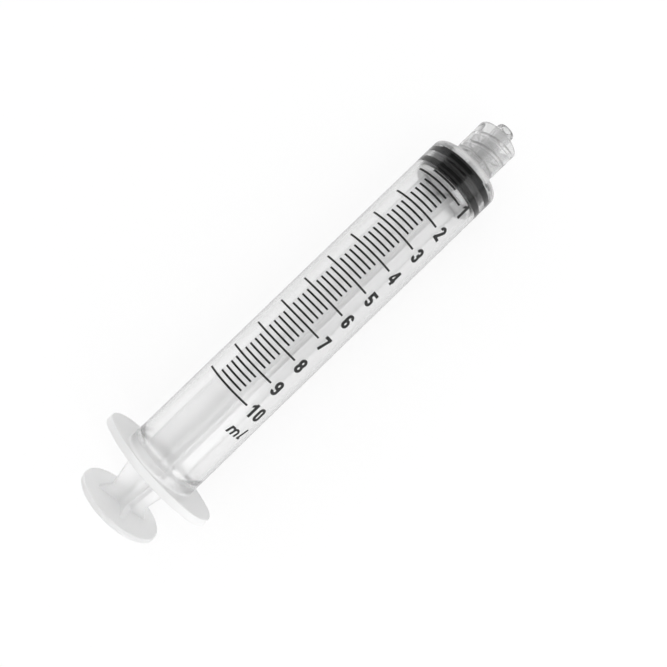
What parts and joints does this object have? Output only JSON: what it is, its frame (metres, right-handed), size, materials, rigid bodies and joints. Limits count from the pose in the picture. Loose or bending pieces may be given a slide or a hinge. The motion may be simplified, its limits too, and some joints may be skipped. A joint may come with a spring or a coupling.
{
  "type": "luer lock syringe",
  "caption": "Luer lock syringe with a clear graduated barrel, finger flange, black rubber stopper and cross-ribbed plunger rod.",
  "frame": {"origin": "on the barrel's axis, in the front face of the finger flange", "axes": "+X along the barrel towards the luer tip, +Z through the middle of the printed scale, the flange's ears along Y"},
  "size_m": [0.1066, 0.0284, 0.0186],
  "materials": {
    "clear_pp": "moulded clear polypropylene, slightly milky",
    "rubber": "moulded black rubber with a film of silicone oil",
    "ink": "printed black ink"
  },
  "bodies": {
    "barrel": {"barrel": "clear_pp", "long_lines": "ink", "short_lines": "ink", "numeral_1": "ink", "numeral_2": "ink", "numeral_3": "ink", "numeral_4": "ink", "numeral_5": "ink", "numeral_6": "ink", "numeral_7": "ink", "numeral_8": "ink", "numeral_9": "ink", "numeral_10": "ink", "unit_mark": "ink"},
    "stopper": {"stopper": "rubber"},
    "plunger_rod": {"plunger_rod": "clear_pp"}
  },
  "joints": [
    {"name": "stopper_slide", "type": "slide", "parent": "barrel", "child": "stopper", "axis": [-1, 0, 0], "range_m": [0, 0.074]},
    {"name": "rod_turn", "type": "hinge", "parent": "stopper", "child": "plunger_rod", "pos_m": [0.078, 0, 0], "axis": [1, 0, 0], "continuous": true}
  ]
}
